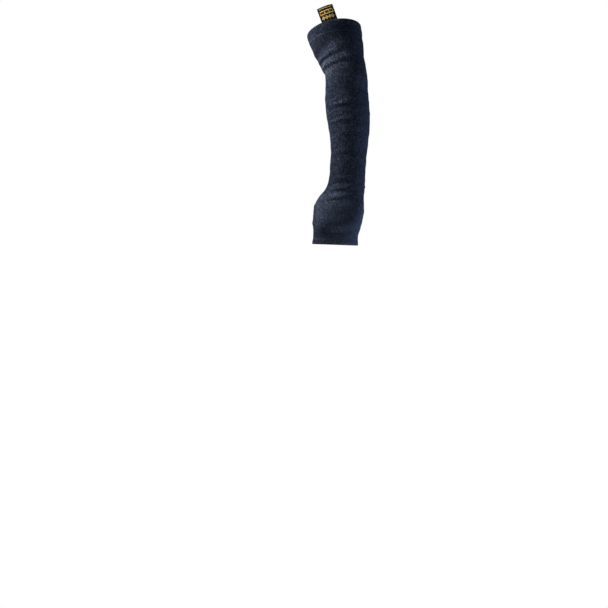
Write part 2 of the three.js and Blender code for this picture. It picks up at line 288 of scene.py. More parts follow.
def slitTurn(along, knit):  # the thumb hole is a slit in the knit, drawn open
    q = (along - thumbHole["along"]) / thumbHole["halfLength"]
    opened = thumbHole["halfTurn"] * np.clip(1 - q * q, 0, 1) ** (thumbHole["pointed"] / 2)
    fromSlit = np.clip(1 - knit / thumbHole["spread"], 0, 1) ** 2
    fromBack = np.clip(1 - (360 - knit) / thumbHole["spread"], 0, 1) ** 2
    return thumbHole["turn"] + knit + opened * (fromSlit - fromBack)


def ringPlace(along, turn):
    fade = np.clip(1 - ((along - ringSlant["along"]) / ringSlant["reach"]) ** 2, 0, 1) ** 2
    return along + ringSlant["rise"] * fade * np.sin(np.radians(turn - ringSlant["turn"]))


def patchwork(places, along, turn):
    level = np.ones(np.broadcast(along, turn).shape)
    for row in places:
        spot = dict(zip(patchColumns, row))
        up = bell(along - spot["along"], spot["alongReach"])
        around = bell(swingFrom(spot["turn"], turn), spot["turnReach"])
        level = level + spot["change"] * up * around
    return level


def knitLevels(along, turn):
    return {
        # painted light and shade from the patches, with painted highlights on crests and stitch lines
        "paintedLightTone": patchwork(paintedLightPlaces, along, turn) + foldLift(paintedHighlights, along, turn),
        "marl": patchwork(marlPlaces, along, turn),
    }


def quads(grid):  # the corners of each cell of a grid, in order round the cell
    return np.stack((grid[:-1, :-1], grid[:-1, 1:], grid[1:, 1:], grid[1:, :-1]), axis=2)


def closedGrid(rows, columns):  # point numbers of a grid that meets itself both ways
    return np.pad(np.arange(rows * columns).reshape(rows, columns), (0, 1), mode="wrap")


def makeObject(name, points, faces, material, cornerUv=None, levels=None):
    mesh = bpy.data.meshes.new(name)
    mesh.from_pydata((points.reshape(-1, 3) * mm).tolist(), [], faces.tolist())
    if cornerUv is not None:
        layer = mesh.uv_layers.new(name="cloth")
        layer.data.foreach_set("uv", cornerUv.astype(np.float32).ravel())
    mesh.polygons.foreach_set("use_smooth", np.ones(len(faces), bool))
    mesh.materials.append(material)
    for key, level in (levels or {}).items():
        attribute = mesh.attributes.new(key, "FLOAT", "POINT")
        attribute.data.foreach_set("value", level.astype(np.float32).ravel())
    mesh.update()
    piece = bpy.data.objects.new(name, mesh)
    scene.collection.objects.link(piece)
    return piece


# Materials

def setInputs(tree, node, inputs):  # a socket is linked, anything else is a fixed value
    for key, value in inputs.items():
        if isinstance(value, bpy.types.NodeSocket):
            tree.links.new(value, node.inputs[key])
        else:
            node.inputs[key].default_value = value


def addNode(tree, kind, inputs=None, **settings):
    node = tree.nodes.new(kind)
    for key, value in settings.items():
        setattr(node, key, value)
    setInputs(tree, node, inputs or {})
    return node


def maths(tree, operation, *values):
    return addNode(tree, "ShaderNodeMath", dict(enumerate(values)), operation=operation).outputs[0]


def product(tree, first, *others):
    total = first
    for value in others:
        total = maths(tree, "MULTIPLY", total, value)
    return total


def between(tree, value, ends):  # 0 to 1 becomes one end to the other
    low, high = ends
    return maths(tree, "MULTIPLY_ADD", value, high - low, low)


def noise(tree, vector, scale, detail, roughness):
    inputs = {"Vector": vector, "Scale": scale, "Detail": detail, "Roughness": roughness}
    return addNode(tree, "ShaderNodeTexNoise", inputs).outputs["Fac"]


def mixColours(tree, factor, first, second):
    inputs = {"Factor": factor, "A": first, "B": second}
    return addNode(tree, "ShaderNodeMix", inputs, data_type="RGBA").outputs["Result"]


def scaleColour(tree, colour, level):
    inputs = {0: colour, "Scale": level}
    return addNode(tree, "ShaderNodeVectorMath", inputs, operation="SCALE").outputs[0]


def bumpNormal(tree, height, strength, distance):
    inputs = {"Height": height, "Strength": strength, "Distance": distance}
    return addNode(tree, "ShaderNodeBump", inputs).outputs[0]


def clothUv(tree):  # the piece's own map, and its two coordinates
    uv = addNode(tree, "ShaderNodeUVMap", uv_map="cloth").outputs[0]
    split = addNode(tree, "ShaderNodeSeparateXYZ", {0: uv})
    return uv, split.outputs[0], split.outputs[1]


def pointLevel(tree, name):
    return addNode(tree, "ShaderNodeAttribute", attribute_name=name).outputs["Fac"]


def objectPlace(tree):
    return addNode(tree, "ShaderNodeTexCoord").outputs["Object"]


def newMaterial(name):
    material = bpy.data.materials.new(name)
    material.use_nodes = True
    tree = material.node_tree
    tree.nodes.clear()
    shader = addNode(tree, "ShaderNodeBsdfPrincipled")
    addNode(tree, "ShaderNodeOutputMaterial", {0: shader.outputs[0]})
    return material, tree, shader


def colourRamp(tree, value, stops):
    node = addNode(tree, "ShaderNodeValToRGB", {"Fac": value})
    ramp = node.color_ramp
    while len(ramp.elements) < len(stops):
        ramp.elements.new(0.5)
    for element, (place, colour) in zip(ramp.elements, stops):
        element.position = place
        element.color = (*colour, 1)
    return node.outputs["Color"]


knitTube = {
    "wales": 72,
    "perWale": 4,  # points across each
    "wall": 2.0,
    "ribHeight": 0.28,
    "innerRibs": 0.6,  # share of that height on the inner face
    "coursePitch": 2.4,
    "zones": [  # from where, ring spacing
        (10.9, 3.2),
        (slitStart, 2.9),
        (slitEnd, 2.0),  # wrist rolls
        (134, 4.8),
        (244, 2.3),  # pulls on the forearm
        (302, 4.8),
        (340, 1.5),  # elbow folds
        (402, 2.8),
    ],
    "tuckIntoHem": 0.8,
}
knitFinish = {
    "navyYarn": (0.0245, 0.0315, 0.0505, 1),
    "paintedLightYarn": (0.0285, 0.0325, 0.0445, 1),  # places of painted light are greyer too
    "hemTone": 0.87,
    "stitchTones": [(0.0, 0.36), (0.5, 0.85), (0.85, 1.55), (1.0, 2.3)],  # dark to pale stitches
    "slope": 1.6,  # courses that a stitch leg climbs from the edge of a wale to its middle
    "loopHeight": (0.5, 1.15),  # of a leg, from its ends to its middle
    "paintedLoopShade": (0.35, 1.15),  # painted shade between the loops, and a little painted light on top of them
    "slub": 1.0,  # how uneven the yarn's tone is
    "slubWale": 0.2,  # uneven spots for each wale
    "slubCourse": 0.6,  # and for each course
    "slubNoise": (1.0, 1.0, 0.5),  # scale, detail, roughness
    "cloudNoise": (40.0, 3.0, 0.6),
    "cloudTone": (0.92, 1.08),
    "fibreNoise": (900.0, 2.0, 0.7),
    "fibreTone": (0.7, 1.3),
    "fibreHeight": 0.25,
    "stitchHeight": (0.5, 1.6),  # dark to pale stitches
    "bump": 0.8,
    "relief": 0.0012,
    "roughness": 0.92,
    "gloss": 0.1,
    "sheen": 0.1,
    "sheenRoughness": 0.45,
    "sheenTint": (0.5, 0.52, 0.85, 1),
}


def knitStitches(tree):  # wale and course, the loops' height, and a random value for each stitch leg
    wale, course = clothUv(tree)[1:]
    across = maths(tree, "PINGPONG", wale, 0.5)  # 0 at the edge of a wale, 0.5 at its middle
    rise = maths(tree, "MULTIPLY_ADD", across, knitFinish["slope"], course)
    leg = maths(tree, "SINE", maths(tree, "MULTIPLY", across, 2 * math.pi))
    loop = maths(tree, "SINE", maths(tree, "MULTIPLY", maths(tree, "FRACT", rise), math.pi))
    height = maths(tree, "MULTIPLY", leg, between(tree, loop, knitFinish["loopHeight"]))
    stitch = addNode(tree, "ShaderNodeCombineXYZ", {
        0: maths(tree, "FLOOR", maths(tree, "MULTIPLY", wale, 2.0)),  # two legs to a wale
        1: maths(tree, "FLOOR", rise),
    })
    pick = addNode(tree, "ShaderNodeTexWhiteNoise", {"Vector": stitch.outputs[0]}, noise_dimensions="2D")
    return wale, course, height, pick.outputs["Value"]


def yarnStreaks(tree, wale, course):  # noise wound round a cylinder, so that it meets itself
    angle = maths(tree, "MULTIPLY", wale, 2 * math.pi / knitTube["wales"])
    radius = knitFinish["slubWale"] * knitTube["wales"] / (2 * math.pi)
    spot = addNode(tree, "ShaderNodeCombineXYZ", {
        0: maths(tree, "MULTIPLY", maths(tree, "COSINE", angle), radius),
        1: maths(tree, "MULTIPLY", maths(tree, "SINE", angle), radius),
        2: maths(tree, "MULTIPLY", course, knitFinish["slubCourse"]),
    })
    return maths(tree, "SUBTRACT", noise(tree, spot.outputs[0], *knitFinish["slubNoise"]), 0.5)


def knitMaterial(name, tone):
    finish = knitFinish
    material, tree, shader = newMaterial(name)
    wale, course, height, pick = knitStitches(tree)
    # painted light and painted shade, stored on the points
    paintedLight = pointLevel(tree, "paintedLightTone")
    marl = pointLevel(tree, "marl")
    place = objectPlace(tree)
    cloud = noise(tree, place, *finish["cloudNoise"])
    fibre = noise(tree, place, *finish["fibreNoise"])
    palest = finish["stitchTones"][-1][1]
    ramp = colourRamp(tree, pick, [(at, (level / palest,) * 3) for at, level in finish["stitchTones"]])
    fromEven = maths(tree, "MULTIPLY_ADD", ramp, palest, -1.0)
    stitchTone = maths(tree, "MULTIPLY_ADD", fromEven, marl, 1.0)
    uneven = maths(tree, "MULTIPLY", yarnStreaks(tree, wale, course), marl)
    streak = maths(tree, "MULTIPLY_ADD", uneven, finish["slub"], 1.0)
    level = product(
        tree, tone, paintedLight, stitchTone, streak,
        between(tree, cloud, finish["cloudTone"]),
        between(tree, fibre, finish["fibreTone"]),
        # painted shade between the loops
        between(tree, height, finish["paintedLoopShade"]),
    )
    # places of painted light and shade mix toward a greyer yarn
    greying = maths(tree, "SUBTRACT", paintedLight, 1.0)
    yarn = mixColours(tree, greying, finish["navyYarn"], finish["paintedLightYarn"])
    loops = maths(tree, "MULTIPLY", height, between(tree, pick, finish["stitchHeight"]))
    fuzzy = maths(tree, "MULTIPLY_ADD", fibre, finish["fibreHeight"], loops)
    grain = maths(tree, "MULTIPLY", fuzzy, marl)
    setInputs(tree, shader, {
        "Base Color": scaleColour(tree, yarn, level),
        "Normal": bumpNormal(tree, grain, finish["bump"], finish["relief"]),
        "Roughness": finish["roughness"],
        "Specular IOR Level": finish["gloss"],
        "Sheen Weight": finish["sheen"],
        "Sheen Roughness": finish["sheenRoughness"],
        "Sheen Tint": finish["sheenTint"],
    })
    return material


threadFinish = {
    "hemColour": (0.046, 0.056, 0.083),
    "seamColour": (0.03, 0.033, 0.043),
    "bindingColour": (0.0105, 0.013, 0.021),
    "twist": 700.0,  # scale of the plies
    "bindingTwist": 800.0,
    "plyNoise": (2.0, 0.6),  # detail, roughness
    "plyEdges": (0.3, 0.7),  # noise levels of the dark and the full colour
    "plyPaintedShade": 0.55,  # share of the colour painted as shade between the plies
    "bump": 0.5,
    "relief": 0.0002,
    "roughness": 0.8,
    "gloss": 0.2,
    "sheen": 0.15,
}


def threadMaterial(name, colour, twist):
    finish = threadFinish
    material, tree, shader = newMaterial(name)
    ply = noise(tree, objectPlace(tree), twist, *finish["plyNoise"])
    # painted shade: the thread is darker where the ply noise is low, between the plies
    dark = tuple(channel * finish["plyPaintedShade"] for channel in colour)
    setInputs(tree, shader, {
        "Base Color": colourRamp(tree, ply, list(zip(finish["plyEdges"], (dark, colour)))),
        "Normal": bumpNormal(tree, ply, finish["bump"], finish["relief"]),
        "Roughness": finish["roughness"],
        "Specular IOR Level": finish["gloss"],
        "Sheen Weight": finish["sheen"],
        "Sheen Tint": knitFinish["sheenTint"],
    })
    return material


knitCloth = knitMaterial("blueGreyKnit", 1.0)
hemCloth = knitMaterial("hemKnit", knitFinish["hemTone"])
hemThread = threadMaterial("hemThread", threadFinish["hemColour"], threadFinish["twist"])
seamThread = threadMaterial("seamThread", threadFinish["seamColour"], threadFinish["twist"])
bindingThread = threadMaterial(
    "bindingThread", threadFinish["bindingColour"], threadFinish["bindingTwist"])
print("sleeve: materials made")


# The knitted tube

wales = knitTube["wales"]
columns = wales * knitTube["perWale"]
armHemHeight = 24
tubeEnd = sleeveLength - armHemHeight + knitTube["tuckIntoHem"]


def ribs(knit):
    return knitTube["ribHeight"] * np.cos(np.radians(knit * wales))


def tubeRings():
    ends = [start for start, spacing in knitTube["zones"][1:]] + [tubeEnd]
    rings = []
    for (start, spacing), end in zip(knitTube["zones"], ends):
        rings.extend(np.linspace(start, end, round((end - start) / spacing), endpoint=False))
    return np.array(rings + [tubeEnd])


def makeTube():
    rings = tubeRings()
    knit = np.arange(columns + 1) * 360 / columns
    ringGrid, knitGrid = np.meshgrid(rings, knit, indexing="ij")
    along = ringPlace(ringGrid, thumbHole["turn"] + knitGrid)
    turn = slitTurn(along, knitGrid)
    relief = fineRelief(along, turn)
    ribGrid = ribs(knitGrid)
    outer = clothPoint(along, turn, relief + ribGrid)
    inner = clothPoint(along, turn, relief - knitTube["wall"] - knitTube["innerRibs"] * ribGrid)

    # a ring closes on its first column, but at the thumb hole its last column has its own points
    tiny = 1e-6
    inSlit = (rings > slitStart + tiny) & (rings < slitEnd - tiny)

    def onRings(grid):
        return np.concatenate((grid[:, :-1].reshape(-1, *grid.shape[2:]), grid[inSlit, -1]))

    points = np.concatenate((onRings(outer), onRings(inner)))
    levels = {key: np.tile(onRings(level), 2) for key, level in knitLevels(along, turn).items()}
    shift = len(points) // 2
    index = np.arange(len(rings) * columns).reshape(len(rings), columns)
    lastColumn = index[:, 0].copy()
    lastColumn[inSlit] = np.arange(index.size, shift)
    index = np.column_stack((index, lastColumn))
    uv = np.stack((knitGrid / 360 * wales, along / knitTube["coursePitch"]), axis=-1)
    skin = quads(index).reshape(-1, 4)
    skinUv = quads(uv).reshape(-1, 4, 2)

    slit = np.flatnonzero(inSlit)
    lip = np.arange(slit[0] - 1, slit[-1] + 2)
    borders = [  # lower edge, upper edge, both lips of the thumb hole
        (index[0, ::-1], uv[0, ::-1]),
        (index[-1], uv[-1]),
        (index[lip, 0], uv[lip, 0]),
        (index[lip[::-1], -1], uv[lip[::-1], -1]),
    ]
    faces = [skin, skin[:, ::-1] + shift]
    faceUv = [skinUv, skinUv[:, ::-1]]
    for line, lineUv in borders:
        here, ahead = line[:-1], line[1:]
        faces.append(np.column_stack((here, ahead, ahead + shift, here + shift)))
        faceUv.append(np.stack((lineUv[:-1], lineUv[1:], lineUv[1:], lineUv[:-1]), axis=1))
    return makeObject(
        "sleeveKnit", points, np.concatenate(faces), knitCloth, np.concatenate(faceUv), levels)


sleeveKnit = makeTube()
print("sleeve: knitted tube", len(sleeveKnit.data.polygons), "faces")


# The turned hems are closed bands. A profile's rows give the distance from the free edge
# and the height above the knit's face, from the outside round the edge to the inside.

knuckleHem = {
    "profile": [
        (12.3, -0.4), (11.7, 0.25), (10.9, 0.4),
        (10.0, 0.22),  # drawn in by the stitches
        (8.9, 0.5), (6.0, 0.66), (2.8, 0.6), (1.0, 0.32), (0.25, -0.3),
        (0.0, -1.0),  # free edge
        (0.25, -1.7), (1.0, -2.3), (3.5, -2.6), (8.0, -2.6), (11.7, -2.4), (12.3, -1.6),
    ],
    "stitchAt": 10.0,
    "stitchSpacing": 3.9,
    "stitchSeed": 4,
}
upperHem = {
    "profile": [
        (24.8, -0.4), (24.2, 0.25), (23.2, 0.42),
        (22.0, 0.2),  # drawn in by the stitches
        (20.6, 0.5), (17.5, 0.62), (14.0, 0.66), (10.5, 0.62),
        (7.0, 0.66), (4.0, 0.64), (1.6, 0.45), (0.4, -0.2),
        (0.0, -1.0),  # free edge
        (0.4, -1.8), (1.6, -2.4), (5.0, -2.6), (12.0, -2.6), (19.0, -2.6), (24.0, -2.4), (24.8, -1.6),
    ],
    "stitchAt": 22.0,
    "stitchSpacing": 4.2,
    "stitchSeed": 9,
}
hemRibs = 0.8  # share of the knit's rib height


def makeHem(name, hem, freeEdge, inwards):  # inwards is 1 up from the lower edge, -1 down from the upper
    profile = np.array(hem["profile"][::inwards])
    rows = len(profile)
    fromEdge, height = profile.T
    knit = (np.arange(columns) * 360 / columns)[:, None]
    along, turn = np.broadcast_arrays(freeEdge + inwards * fromEdge, thumbHole["turn"] + knit)
    outwards = np.clip(height + 1, -1, 1)  # ribs stand out on both faces
    points = clothPoint(along, turn, height + fineRelief(along, turn) + hemRibs * outwards * ribs(knit))
    faces = quads(closedGrid(columns, rows)).reshape(-1, 4)
    u = np.arange(columns + 1) / knitTube["perWale"]
    v = walked(np.vstack((profile, profile[:1]))) / knitTube["coursePitch"]
    uv = quads(np.stack(np.meshgrid(u, v, indexing="ij"), axis=-1))
    return makeObject(name, points, faces, hemCloth, uv, knitLevels(along, turn))


handHem = makeHem("knuckleHem", knuckleHem, 0.0, 1)
armHem = makeHem("upperArmHem", upperHem, sleeveLength, -1)
print("sleeve: hems made")


# The bead round the thumb hole

thumbBead = {"radius": 1.95, "inset": 1.75, "steps": 180, "sides": 12}


def thumbEdge(angle):
    across = np.sin(angle)
    opened = np.sign(across) * np.abs(across) ** thumbHole["pointed"]
    along = thumbHole["along"] - thumbHole["halfLength"] * np.cos(angle)
    return along, thumbHole["turn"] + thumbHole["halfTurn"] * opened


def beadLine(angle):  # centre, tangent, outward and inward directions of the bead
    def edgePoint(at):
        along, turn = thumbEdge(at)
        return clothPoint(along, turn, fineRelief(along, turn) - knitTube["wall"] / 2)

    ahead = 0.07  # radians, to find the tangent
    tangent = unit(edgePoint(angle + ahead) - edgePoint(angle - ahead))
    outward = faceNormal(*thumbEdge(angle))
    inward = unit(np.cross(outward, tangent))
    return edgePoint(angle) + inward * thumbBead["inset"], tangent, outward, inward


def makeBead():
    steps, sides = thumbBead["steps"], thumbBead["sides"]
    centre, _, outward, inward = beadLine(np.arange(steps) * 2 * math.pi / steps)
    around = (np.arange(sides) * 2 * math.pi / sides)[None, :, None]
    spoke = outward[:, None] * np.cos(around) - inward[:, None] * np.sin(around)
    points = centre[:, None] + thumbBead["radius"] * spoke
    return makeObject("thumbBead", points, quads(closedGrid(steps, sides)).reshape(-1, 4), bindingThread)


thumbBinding = makeBead()
print("sleeve: thumb binding made")


# The woven label, a ribbon folded at its top, both ends sewn inside the arm hem

labelRibbon = {
    "turn": 86,
    "tilt": 4,
    "width": 37,
    "shown": 31,
    "sewnIn": 9,
    "front": -2.9,  # height of its front face over the knit's
    "ply": 0.4,
    "gapInside": 0.2,
    "curl": 0.5,
    "curlWaves": 0.8,  # across the ribbon
    "curlPhase": 0.6,
    "cellsAcross": 24,
    "rowsUp": 20,
    "bendSteps": 8,
}
labelFinish = {  # sizes in millimetres, heights up from the hem
    "black": (0.004, 0.0034, 0.0025, 1),
    "gold": (0.95, 0.62, 0.13, 1),
    "rust": (0.05, 0.017, 0.006, 1),
    "halfWidth": 15.2,
    "bars": [(27.6, 0.6), (22.0, 0.9), (15.4, 0.9)],  # middle, half height
    "smallLozenges": {"middle": 18.8, "spacing": 10.2, "halfWidth": 1.6, "halfHeight": 1.6},
    "largeLozenges": {"middle": 7.7, "spacing": 7.6, "halfWidth": 3.7, "halfHeight": 4.4},
    "largeRing": (0.82, 0.18),  # share of the lozenge's size, and half its breadth
    "largeHeart": 0.42,
    "rustBand": (18.8, 2.4),  # behind the small lozenges
    "threads": (9.0, 11.0),  # radians for each millimetre across and up
    "speckleNoise": (1.6, 3.0, 0.5),
    "speckleTone": (0.4, 1.5),
    "motifHeight": 0.8,
    "bump": 0.6,
    "relief": 0.00025,
    "roughness": 0.6,
    "gloss": 0.1,
}


def labelMaterial():
    finish = labelFinish
    material, tree, shader = newMaterial("wovenLabel")
    uv, across, up = clothUv(tree)

    def band(value, middle, half):
        away = maths(tree, "ABSOLUTE", maths(tree, "SUBTRACT", value, middle))
        return maths(tree, "LESS_THAN", away, half)

    def lozenges(middle, spacing, halfWidth, halfHeight):  # 0 in the middle of each, 1 at its edge
        sideways = maths(tree, "SUBTRACT", spacing / 2, maths(tree, "PINGPONG", across, spacing / 2))
        away = maths(tree, "ABSOLUTE", maths(tree, "SUBTRACT", up, middle))
        upwards = maths(tree, "DIVIDE", away, halfHeight)
        return maths(tree, "MULTIPLY_ADD", sideways, 1 / halfWidth, upwards)

    small = lozenges(**finish["smallLozenges"])
    large = lozenges(**finish["largeLozenges"])
    figures = [band(up, middle, half) for middle, half in finish["bars"]]
    figures.append(maths(tree, "LESS_THAN", small, 1.0))
    figures.append(band(large, *finish["largeRing"]))
    figures.append(maths(tree, "LESS_THAN", large, finish["largeHeart"]))
    allFigures = figures[0]
    for figure in figures[1:]:
        allFigures = maths(tree, "MAXIMUM", allFigures, figure)
    patterned = band(across, 0.0, finish["halfWidth"])
    motif = maths(tree, "MULTIPLY", allFigures, patterned)
    ground = maths(tree, "MULTIPLY", band(up, *finish["rustBand"]), patterned)
    colour = mixColours(tree, ground, finish["black"], finish["rust"])
    colour = mixColours(tree, motif, colour, finish["gold"])
    speckle = noise(tree, uv, *finish["speckleNoise"])
    warp, weft = (
        maths(tree, "SINE", maths(tree, "MULTIPLY", way, rate))
        for way, rate in zip((across, up), finish["threads"])
    )
    weave = maths(tree, "MULTIPLY", warp, weft)
    raised = maths(tree, "MULTIPLY_ADD", motif, finish["motifHeight"], weave)
    setInputs(tree, shader, {
        "Base Color": scaleColour(tree, colour, between(tree, speckle, finish["speckleTone"])),
        "Normal": bumpNormal(tree, raised, finish["bump"], finish["relief"]),
        "Roughness": finish["roughness"],
        "Specular IOR Level": finish["gloss"],
    })
    return material


def makeLabel():
    label = labelRibbon
    innerHalf = label["gapInside"] / 2
    outerHalf = innerHalf + label["ply"]
    bend = np.radians(np.linspace(0, 180, label["bendSteps"] + 1))[1:-1]
    straight = np.linspace(-label["sewnIn"], label["shown"] - outerHalf, label["rowsUp"])
    acrossLine = np.linspace(-0.5, 0.5, label["cellsAcross"] + 1) * label["width"]
    tilt = math.radians(label["tilt"])
    perDegree = (edgeHalfWidth + label["front"]) * math.radians(1)

    def layer(radius):  # up one face, over the fold, down the other
        up = np.concatenate((straight, straight[-1] + radius * np.sin(bend), straight[::-1]))
        flat = np.full(len(straight), radius)
        height = np.concatenate((flat, radius * np.cos(bend), -flat))
        return up, label["front"] - outerHalf + height

    def place(up, height):
        upGrid, acrossGrid = np.meshgrid(up, acrossLine, indexing="ij")
        along = sleeveLength + upGrid * math.cos(tilt) + acrossGrid * math.sin(tilt)
        sideways = acrossGrid * math.cos(tilt) - upGrid * math.sin(tilt)
        rise = np.clip(upGrid, 0, None) / label["shown"]
        wave = acrossGrid / label["width"] * 2 * math.pi * label["curlWaves"] + label["curlPhase"]
        lift = height[:, None] - label["curl"] * rise * np.sin(wave)
        return clothPoint(along, label["turn"] + sideways / perDegree, lift)

    outerUp, outerHeight = layer(outerHalf)
    outer = place(outerUp, outerHeight)
    inner = place(*layer(innerHalf))
    rows, across = outer.shape[:2]
    shift = rows * across
    index = np.arange(shift).reshape(rows, across)
    skin = quads(index).reshape(-1, 4)
    border = np.concatenate((index[0, :], index[1:, -1], index[-1, -2::-1], index[-2:0:-1, 0]))
    ahead = np.roll(border, -1)
    rim = np.column_stack((ahead, border, border + shift, ahead + shift))
    faces = np.concatenate((skin, skin[:, ::-1] + shift, rim))
    layerUv = np.stack(np.meshgrid(outerUp, acrossLine, indexing="ij")[::-1], axis=-1)
    layerUv[rows // 2:, :, 0] *= -1  # the motif reads the same way on both faces
    pointUv = np.tile(layerUv.reshape(-1, 2), (2, 1))
    return makeObject("wovenLabel", np.stack((outer, inner)), faces, labelMaterial(), pointUv[faces])


labelPiece = makeLabel()
print("sleeve: label made")


# Stitches: one tree lays an arched thread on every point it is given

stitchInputs = {
    "Points": "NodeSocketGeometry",
    "Stitch Length": "NodeSocketFloat",
    "Thread Radius": "NodeSocketFloat",
    "Arch Height": "NodeSocketFloat",
    "Arch Dip": "NodeSocketFloat",
    "Wobble": "NodeSocketFloat",
    "Seed": "NodeSocketInt",
    "Thread": "NodeSocketMaterial",
}
stitchThread = {"archSteps": 6, "sides": 6, "smallest": 0.92, "largest": 1.06}


def randomBetween(tree, low, high, seed):
    inputs = {2: low, 3: high, "Seed": seed}
    return addNode(tree, "FunctionNodeRandomValue", inputs, data_type="FLOAT").outputs[1]


def pointVector(tree, name):
    inputs = {"Name": name}
    return addNode(tree, "GeometryNodeInputNamedAttribute", inputs, data_type="FLOAT_VECTOR").outputs[0]


def stitchTree():
    tree = bpy.data.node_groups.new("stitchRow", "GeometryNodeTree")
    for name, kind in stitchInputs.items():
        tree.interface.new_socket(name=name, in_out="INPUT", socket_type=kind)
    tree.interface.new_socket(name="Stitches", in_out="OUTPUT", socket_type="NodeSocketGeometry")
    given = addNode(tree, "NodeGroupInput").outputs

    # the thread: an arch from foot to foot, with a round profile
    half = maths(tree, "MULTIPLY", given["Stitch Length"], 0.5)
    back = maths(tree, "MULTIPLY", half, -1.0)
    dip = maths(tree, "MULTIPLY", given["Arch Dip"], -1.0)
    arch = addNode(tree, "GeometryNodeCurveQuadraticBezier", {
        "Resolution": stitchThread["archSteps"],
        "Start": addNode(tree, "ShaderNodeCombineXYZ", {0: back, 2: dip}).outputs[0],
        "Middle": addNode(tree, "ShaderNodeCombineXYZ", {2: given["Arch Height"]}).outputs[0],
        "End": addNode(tree, "ShaderNodeCombineXYZ", {0: half, 2: dip}).outputs[0],
    })
    ply = addNode(tree, "GeometryNodeCurvePrimitiveCircle", {
        "Resolution": stitchThread["sides"], "Radius": given["Thread Radius"],
    })
    thread = addNode(tree, "GeometryNodeCurveToMesh", {
        "Curve": arch.outputs[0], "Profile Curve": ply.outputs[0], "Fill Caps": True,
    })

    # each stands on the cloth along its run, swung and sized a little by chance
    stand = addNode(tree, "FunctionNodeAxesToRotation", {
        "Primary Axis": pointVector(tree, "outDir"), "Secondary Axis": pointVector(tree, "runDir"),
    }, primary_axis="Z", secondary_axis="X")
    leastSwing = maths(tree, "MULTIPLY", given["Wobble"], -1.0)
    sway = randomBetween(tree, leastSwing, given["Wobble"], given["Seed"])
    swing = addNode(tree, "ShaderNodeCombineXYZ", {2: sway})
    swung = addNode(tree, "FunctionNodeEulerToRotation", {0: swing.outputs[0]})
    turned = addNode(tree, "FunctionNodeRotateRotation", {
        "Rotation": stand.outputs[0], "Rotate By": swung.outputs[0],
    }, rotation_space="LOCAL")
    laid = addNode(tree, "GeometryNodeInstanceOnPoints", {
        "Points": given["Points"],
        "Instance": thread.outputs[0],
        "Rotation": turned.outputs[0],
        "Scale": randomBetween(tree, stitchThread["smallest"], stitchThread["largest"], given["Seed"]),
    })
    real = addNode(tree, "GeometryNodeRealizeInstances", {0: laid.outputs[0]})
    smooth = addNode(tree, "GeometryNodeSetShadeSmooth", {0: real.outputs[0]})
    dressed = addNode(tree, "GeometryNodeSetMaterial", {
        "Geometry": smooth.outputs[0], "Material": given["Thread"],
    })
    addNode(tree, "NodeGroupOutput", {0: dressed.outputs[0]})
    return tree


stitchRow = stitchTree()


def layStitches(name, points, runs, outs, thread, stitch):
    mesh = bpy.data.meshes.new(name)
    mesh.from_pydata((points * mm).tolist(), [], [])
    for key, vectors in (("runDir", runs), ("outDir", outs)):
        layer = mesh.attributes.new(key, "FLOAT_VECTOR", "POINT")
        layer.data.foreach_set("vector", vectors.astype(np.float32).ravel())
    piece = bpy.data.objects.new(name, mesh)
    scene.collection.objects.link(piece)
    maker = piece.modifiers.new("stitches", "NODES")
    maker.node_group = stitchRow
    values = {
        "Stitch Length": stitch["length"] * mm,
        "Thread Radius": stitch["thread"] * mm,
        "Arch Height": stitch["arch"] * mm,
        "Arch Dip": stitch["dip"] * mm,
        "Wobble": stitch["wobble"],
        "Seed": stitch["seed"],
        "Thread": thread,
    }
    for item in stitchRow.interface.items_tree:
        if item.in_out == "INPUT" and item.name in values:
            maker[item.identifier] = values[item.name]
    graph = bpy.context.evaluated_depsgraph_get()
    laid = bpy.data.meshes.new_from_object(piece.evaluated_get(graph))
    piece.modifiers.remove(maker)
    piece.data = laid
    return piece


hemStitch = {
    "share": 0.82,  # of the spacing that a stitch covers
    "height": 0.25,
    "thread": 0.36,
    "arch": 0.75,
    "dip": 0.35,
    "wobble": 0.09,
}


def makeHemStitches(name, hem, along):
    fullTurn = np.arange(0, 361, 2.0)
    walk = walked(facePoint(along, fullTurn))
    count = round(walk[-1] / hem["stitchSpacing"])
    turn = np.interp((np.arange(count) + 0.5) * walk[-1] / count, walk, fullTurn)
    places = (np.full(count, along), turn)
    points = clothPoint(*places, fineRelief(*places) + hemStitch["height"])
    stitch = {**hemStitch, "length": hem["stitchSpacing"] * hemStitch["share"], "seed": hem["stitchSeed"]}
    return layStitches(name, points, unit(wayRound(*places)), faceNormal(*places), hemThread, stitch)


handStitches = makeHemStitches("knuckleHemStitches", knuckleHem, knuckleHem["stitchAt"])
armStitches = makeHemStitches("upperHemStitches", upperHem, sleeveLength - upperHem["stitchAt"])

seamStitch = {  # a zigzag across the seam
    "start": 13.5,
    "clearOfHem": 2,
    "spacing": 2.6,
    "slant": 0.55,
    "height": 0.45,
    "length": 4.8,
    "thread": 0.33,
    "arch": 0.6,
    "dip": 0.1,
    "wobble": 0.06,
    "seed": 15,
}


def makeSeamStitches():
    end = sleeveLength - armHemHeight - seamStitch["clearOfHem"]
    along = np.arange(seamStitch["start"], end, seamStitch["spacing"])
    places = (along, np.full(len(along), float(seamRelief["turn"])))
    out = faceNormal(*places)
    up = unit(wayUp(*places))
    cross = unit(np.cross(up, out))
    zigzag = np.where(np.arange(len(along)) % 2 == 0, 1.0, -1.0)[:, None]
    runs = unit(cross + zigzag * seamStitch["slant"] * up)
    points = clothPoint(*places, fineRelief(*places) + seamStitch["height"])
    return layStitches("sideSeamStitches", points, runs, out, seamThread, seamStitch)


seamStitches = makeSeamStitches()

wrapStitch = {  # thread wound over the thumb hole's bead
    "count": 64,
    "outward": 0.8,  # which way a wrap's arch stands: out from the cloth
    "aside": 0.6,  # and away from the hole
    "slant": 0.22,
    "depth": 0.72,  # share of the bead's radius
    "length": 3.9,
    "thread": 0.6,
    "arch": 1.6,
    "dip": 0.9,
    "wobble": 0.1,
    "seed": 21,
}


